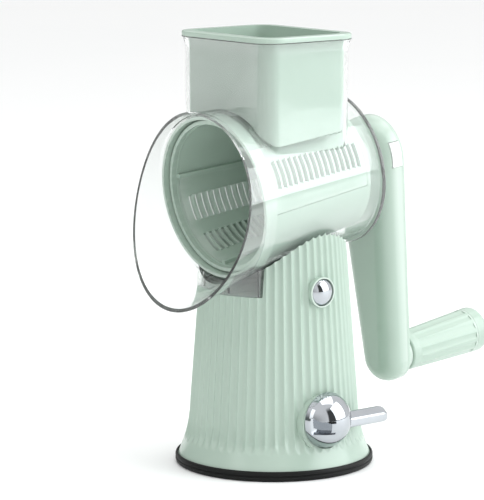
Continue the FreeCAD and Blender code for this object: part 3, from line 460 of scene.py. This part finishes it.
def along_x(name, x1, x2, radius, y, z, end_radius=None):
    """A round bar along x at a given y and z, in mm."""
    place = mathutils.Matrix.Translation((0, y * MM, z * MM)) @ sideways
    return rod(name, place, x1, x2, radius, end_radius or radius)


boss = along_x("boss", 40, LEVER_FACE - 0.8, BOSS_R, LEVER_Y, BOSS_Z)
boss_edge = along_x("boss_edge", LEVER_FACE - 1.6, LEVER_FACE, BOSS_R, LEVER_Y, BOSS_Z, BOSS_R - 0.8)
collar = along_x("collar", 40, 52.6, BUTTON_COLLAR_R, BUTTON_Y, BUTTON_Z)
tower = combine(skin, "UNION", [boss, boss_edge, collar])
hollow = revolved_skin("hollow", steps(-1.0, 15.0, 4) + steps(18.0, 175.0, 30), 160,
                       lambda angle, z: wall_radius(max(z, FLARE[0][1])) - WALL)
seat_outside = rod("seat_outside", tipped, -SEAT_END, SEAT_END, SEAT_FRONT_R + WALL, SEAT_REAR_R + WALL)
slot_outside = slab("slot_outside", (-SLOT_X - WALL, -75, SLOT_LOW_Z - WALL),
                    (SLOT_X + WALL, SLOT_REAR_Y + WALL, 150))
combine(hollow, "DIFFERENCE", [seat_outside, slot_outside])
combine(tower, "DIFFERENCE", [hollow])
seat = rod("seat", tipped, -SEAT_END, SEAT_END, SEAT_FRONT_R, SEAT_REAR_R)
slot = slab("slot", (-SLOT_X, -75, SLOT_LOW_Z), (SLOT_X, SLOT_REAR_Y, 150))
above = slab("above", (-80, -80, 173.3), (80, 80, 240))
combine(tower, "DIFFERENCE", [seat, slot, above])
combine(tower, "UNION", [along_x("guide", 36.2, 50, 7.0, BUTTON_Y, BUTTON_Z)])
combine(tower, "DIFFERENCE", [along_x("bore_wide", 47, 80, 9.3, BUTTON_Y, BUTTON_Z),
                              along_x("bore_narrow", 20, 80, 5.1, BUTTON_Y, BUTTON_Z),
                              along_x("lever_bore", 20, 80, 8.0, LEVER_Y, LEVER_Z),
                              along_x("knob_relief", LEVER_FACE, 80, 19.4, LEVER_Y, LEVER_Z)])
print("tower faces after the cuts:", len(tower.data.polygons))

# %% The tower takes its node's place
tower_mesh = tower.data
bpy.data.objects.remove(tower)
tower_piece = place_piece("tower_moulding", tower_mesh, "base", "tower_shell", 28.0)
print("tower height in mm:", round(tower_piece.dimensions.z / MM, 1))

# %% [markdown]
# ## The rubber base ring
# The ring is stretched over the tower's foot. Its outside is a soft bead above a flat tread, with a thin groove
# between them. A lathe is the tool for it: one closed profile of radius and height, turned round the tower's axis. A
# bevel then softens the corners, because rubber has none.

# %% Base ring
def turned_mesh(name, profile, segments):
    """A closed profile of (radius, height) in mm, turned into a ring."""
    build = bmesh.new()
    rings = []
    for i in range(segments):
        angle = 2 * math.pi * i / segments
        rings.append([build.verts.new((r * math.cos(angle) * MM, r * math.sin(angle) * MM, z * MM))
                      for r, z in profile])
    for i in range(segments):
        here, there = rings[i], rings[(i + 1) % segments]
        for k in range(len(profile)):
            m = (k + 1) % len(profile)
            build.faces.new((here[k], there[k], there[m], here[m]))
    bmesh.ops.recalc_face_normals(build, faces=build.faces)
    mesh = bpy.data.meshes.new(name)
    build.to_mesh(mesh)
    build.free()
    return mesh


ring_profile = [(58.5, 0.0), (66.2, 0.0), (67.4, 0.5), (67.9, 1.6), (67.95, 2.9), (67.3, 3.3), (67.3, 3.8),
                (67.95, 4.2), (67.9, 5.4), (67.5, 6.4), (66.9, 6.95), (66.5, 7.0), (66.45, 5.0), (62.5, 4.9),
                (60.5, 4.9), (58.5, 4.5)]
ring = bpy.data.objects.new("ring_blank", turned_mesh("base_ring_rubber", ring_profile, 256))
bpy.context.collection.objects.link(ring)
soften = ring.modifiers.new("soften", "BEVEL")
soften.width = 0.18 * MM
soften.segments = 3
soften.limit_method = "ANGLE"
soften.angle_limit = math.radians(25)
ring_mesh = settle(ring)
bpy.data.objects.remove(ring)
ring_piece = place_piece("base_ring_rubber", ring_mesh, "base", "base_ring", 60.0)
print("ring across in mm:", round(ring_piece.dimensions.x / MM, 1))

# %% [markdown]
# ## The suction lever's blade
# The lever is a bar that lies through the knob and sticks out behind it. In the frame its edges are nearly sharp; on
# the real moulding they are rounded so far that the face is never quite flat, or the chrome would look like tin. The
# bar is made from rounded sections strung along its length and drawn in at the tip. The part inside the knob keeps
# square sides, because it fills the knob's channel, and ends flush with the dome.

# %% Lever blade
KNOB_CENTRE_X, KNOB_SPHERE_R, SHAFT_R = 55.325, 19.475, 4.0
BLADE_X1, BLADE_X2 = 60.6, 69.6
BLADE_LOW, BLADE_FRONT_TOP, BLADE_BACK_TOP = 32.6, 38.8, 43.8
TIP_START, TIP_LENGTH = 39.0, 5.0


def rounded_section(x1, x2, low, front_top, back_top, radius, corner_steps=7):
    """Corner points of a bar's section in (x, z), each corner turned with a radius; sizes in mm."""
    corners = [(x1, low), (x2, low), (x2, front_top), (x1, back_top)]
    points = []
    for k, corner in enumerate(corners):
        here = mathutils.Vector(corner)
        before = (mathutils.Vector(corners[k - 1]) - here).normalized()
        after = (mathutils.Vector(corners[(k + 1) % 4]) - here).normalized()
        reach = radius / math.tan(before.angle(after) / 2)
        centre = here + (before + after).normalized() * (radius / math.sin(before.angle(after) / 2))
        first, last = here + before * reach - centre, here + after * reach - centre
        for i in range(corner_steps + 1):
            share = i / corner_steps
            points.append(centre + (first * (1 - share) + last * share).normalized() * radius)
    return points


def strung_bar(name, y_values, section_at):
    """A closed bar through one section per y value; sizes in mm."""
    build = bmesh.new()
    rings = [[build.verts.new((x * MM, y * MM, z * MM)) for x, z in section_at(y)] for y in y_values]
    for here, there in zip(rings, rings[1:]):
        for k in range(len(here)):
            m = (k + 1) % len(here)
            build.faces.new((here[k], here[m], there[m], there[k]))
    build.faces.new(rings[0])
    build.faces.new(list(reversed(rings[-1])))
    bmesh.ops.recalc_face_normals(build, faces=build.faces)
    return as_cutter(name, build)


def blade_section(y):
    """The bar's section at y, drawn in over the last few millimetres of the tip."""
    share = max(0.0, (y - TIP_START) / TIP_LENGTH)
    draw_in = 2.4 * (1 - math.sqrt(max(0.0, 1 - share * share)))
    return rounded_section(BLADE_X1 + draw_in, BLADE_X2 - draw_in, BLADE_LOW + draw_in * 0.6,
                           BLADE_FRONT_TOP - draw_in * 0.5, BLADE_BACK_TOP - draw_in, 1.9 - draw_in * 0.35)


tip = [TIP_START + TIP_LENGTH * math.sin(k * math.pi / 20) for k in range(1, 11)]
blade = strung_bar("blade_bar", steps(3.0, TIP_START, 12) + tip, blade_section)
channel = [(BLADE_X1, BLADE_LOW), (80, BLADE_LOW), (80, BLADE_FRONT_TOP), (BLADE_X2, BLADE_FRONT_TOP),
           (BLADE_X1, BLADE_BACK_TOP)]
fill = strung_bar("blade_fill", (-10.0, 16.0), lambda y: channel)
dome = revolved_skin("dome", [KNOB_SPHERE_R * math.sin(math.radians(a)) for a in range(-84, 85, 3)], 128,
                     lambda angle, z: math.sqrt(KNOB_SPHERE_R ** 2 - z * z))
dome.location = (KNOB_CENTRE_X * MM, LEVER_Y * MM, LEVER_Z * MM)
bpy.context.view_layer.update()
combine(fill, "INTERSECT", [dome])
combine(blade, "UNION", [fill])
combine(blade, "DIFFERENCE", [along_x("shaft_socket", 50, 64.6, SHAFT_R, LEVER_Y, LEVER_Z)])
blade_mesh = blade.data
bpy.data.objects.remove(blade)
blade_piece = place_piece("lever_blade_chromed", blade_mesh, "suction_lever", "lever_blade", 32.0)
print("blade size in mm:", [round(c / MM, 1) for c in blade_piece.dimensions], "faces:", len(blade_mesh.polygons))

# %% [markdown]
# ## Floor
# A wide pale disc stands in for a photographer's table. It is plain matte laminate: nearly white, with a slow change
# of tone and a fine tooth, so that the contact shadow falls on something real.

# %% Floor
def round_floor(radius, rings, spokes):
    """A flat disc as a mesh of rings."""
    build = bmesh.new()
    centre = build.verts.new((0, 0, 0))
    previous = None
    for ring in range(1, rings + 1):
        r = radius * ring / rings
        turns = [2 * math.pi * i / spokes for i in range(spokes)]
        current = [build.verts.new((r * math.cos(a), r * math.sin(a), 0)) for a in turns]
        for i in range(spokes):
            following = (i + 1) % spokes
            if previous is None:
                build.faces.new((centre, current[i], current[following]))
            else:
                build.faces.new((previous[i], current[i], current[following], previous[following]))
        previous = current
    mesh = bpy.data.meshes.new("floor")
    build.to_mesh(mesh)
    build.free()
    disc = bpy.data.objects.new("floor", mesh)
    bpy.context.collection.objects.link(disc)
    return disc


floor = round_floor(14.0, 6, 96)
laminate, tree, shader, place = start_material("matte white laminate")
tone = add(tree, "ShaderNodeTexNoise", values={"Scale": 1.6, "Detail": 2.0}, links={"Vector": place})
mix = add(tree, "ShaderNodeMix", {"data_type": "RGBA"}, links={0: tone.outputs["Fac"]})
mix.inputs[6].default_value = linear("FCFCFC")
mix.inputs[7].default_value = linear("F8F9F9")
tree.links.new(mix.outputs[2], shader.inputs["Base Color"])
tooth = add(tree, "ShaderNodeTexNoise", values={"Scale": 1 / (0.8 * MM), "Detail": 2.0}, links={"Vector": place})
bump = add(tree, "ShaderNodeBump", values={"Strength": 0.3, "Distance": 0.02 * MM},
           links={"Height": tooth.outputs["Fac"]})
tree.links.new(bump.outputs["Normal"], shader.inputs["Normal"])
shader.inputs["Roughness"].default_value = 0.55
floor.data.materials.append(laminate)
print("floor radius in m:", round(floor.dimensions.x / 2, 1))

# %% [markdown]
# ## Studio light
# A big soft box stands to the right, a narrow one fills from the outlet's side and a third hangs overhead, as in a
# product studio. The world around them is pale on the right and overhead and grey on the left, which gives round
# pieces a slow change of tone. A dark upright gap on the +X side gives polished chrome something dark to show. The
# lens itself sees plain white, like a lit paper backdrop.

# %% Lamps and world
def soft_box(name, place, aim, width, height, power, warmth):
    """A rectangular area lamp that faces a point."""
    data = bpy.data.lights.new(name, "AREA")
    data.shape = "RECTANGLE"
    data.size = width
    data.size_y = height
    data.energy = power
    data.color = warmth
    lamp = bpy.data.objects.new(name, data)
    lamp.location = place
    toward = mathutils.Vector(aim) - mathutils.Vector(place)
    lamp.rotation_euler = toward.to_track_quat("-Z", "Y").to_euler()
    bpy.context.collection.objects.link(lamp)
    return lamp


soft_box("key_box", (1.45, 1.15, 1.05), (0, 0, 0.15), 2.0, 2.0, 34, (0.95, 0.985, 1.0))
soft_box("side_box", (0.1, -1.7, 0.9), (0, 0, 0.15), 0.5, 1.2, 2.5, (1.0, 1.0, 1.0))
soft_box("top_box", (0.1, 0.3, 1.6), (0, 0, 0.15), 1.2, 1.2, 8, (1.0, 1.0, 1.0))

GAP_MIDDLE, GAP_HALF = 0.03, 0.26
world = bpy.data.worlds.new("studio")
bpy.context.scene.world = world
world.use_nodes = True
tree = world.node_tree
tree.nodes.clear()
direction = add(tree, "ShaderNodeTexCoord").outputs["Generated"]
parts = add(tree, "ShaderNodeSeparateXYZ", links={"Vector": direction})
toward_key = add(tree, "ShaderNodeVectorMath", {"operation": "DOT_PRODUCT"}, links={0: direction})
toward_key.inputs[1].default_value = (0.86, 0.50, 0.0)
side = add(tree, "ShaderNodeMapRange", values={"From Min": -0.6, "From Max": 0.6},
           links={"Value": toward_key.outputs["Value"]})
walls = add(tree, "ShaderNodeMix", {"data_type": "RGBA"}, links={0: side.outputs["Result"]})
walls.inputs[6].default_value = linear("6E7571")
walls.inputs[7].default_value = linear("FFFFFF")
height = add(tree, "ShaderNodeMapRange", values={"From Min": 0.15, "From Max": 0.55},
             links={"Value": parts.outputs["Z"]})
room = add(tree, "ShaderNodeMix", {"data_type": "RGBA"}, links={0: height.outputs["Result"]})
tree.links.new(walls.outputs[2], room.inputs[6])
room.inputs[7].default_value = linear("FFFFFF")
offset = add(tree, "ShaderNodeMath", {"operation": "SUBTRACT"}, links={0: parts.outputs["Y"]})
offset.inputs[1].default_value = GAP_MIDDLE
distance = add(tree, "ShaderNodeMath", {"operation": "ABSOLUTE"}, links={0: offset.outputs["Value"]})
across = add(tree, "ShaderNodeMapRange",
             values={"From Min": GAP_HALF, "From Max": GAP_HALF + 0.07, "To Min": 0.92, "To Max": 0.0},
             links={"Value": distance.outputs["Value"]})
ahead = add(tree, "ShaderNodeMapRange", values={"From Min": 0.55, "From Max": 0.75},
            links={"Value": parts.outputs["X"]})
gap = add(tree, "ShaderNodeMath", {"operation": "MULTIPLY"},
          links={0: across.outputs["Result"], 1: ahead.outputs["Result"]})
gapped = add(tree, "ShaderNodeMix", {"data_type": "RGBA"}, links={0: gap.outputs["Value"]})
tree.links.new(room.outputs[2], gapped.inputs[6])
gapped.inputs[7].default_value = linear("1A1D1C")
seen = add(tree, "ShaderNodeLightPath").outputs["Is Camera Ray"]
shown = add(tree, "ShaderNodeMix", {"data_type": "RGBA"}, links={0: seen})
tree.links.new(gapped.outputs[2], shown.inputs[6])
shown.inputs[7].default_value = linear("FFFFFF")
light = add(tree, "ShaderNodeBackground", values={"Strength": 1.12}, links={"Color": shown.outputs[2]})
add(tree, "ShaderNodeOutputWorld", links={"Surface": light.outputs["Background"]})
bpy.context.scene.view_settings.view_transform = "Standard"

# %% [markdown]
# ## Camera
# A long lens from about two metres away keeps the object's lines nearly parallel. The camera looks at it from the
# outlet's right, a little above the hopper's middle, so that the drum shows through the open hood. A small shift
# frames the object without turning the camera.

# %% Camera
lens = bpy.data.cameras.new("camera")
lens.lens = 203.0
lens.sensor_width = 36.0
lens.shift_x = -0.064
lens.shift_y = -0.0116
lens.clip_end = 50.0
camera = bpy.data.objects.new("camera", lens)
aim = mathutils.Vector((0.0, 0.0, 0.150))
azimuth, elevation, distance = math.radians(50.7), math.radians(9.06), 1.9215
back = mathutils.Vector((math.sin(azimuth) * math.cos(elevation), -math.cos(azimuth) * math.cos(elevation),
                         math.sin(elevation)))
camera.location = aim + back * distance
camera.rotation_euler = (-back).to_track_quat("-Z", "Y").to_euler()
bpy.context.collection.objects.link(camera)
bpy.context.scene.camera = camera
print("camera at:", [round(c, 3) for c in camera.location])
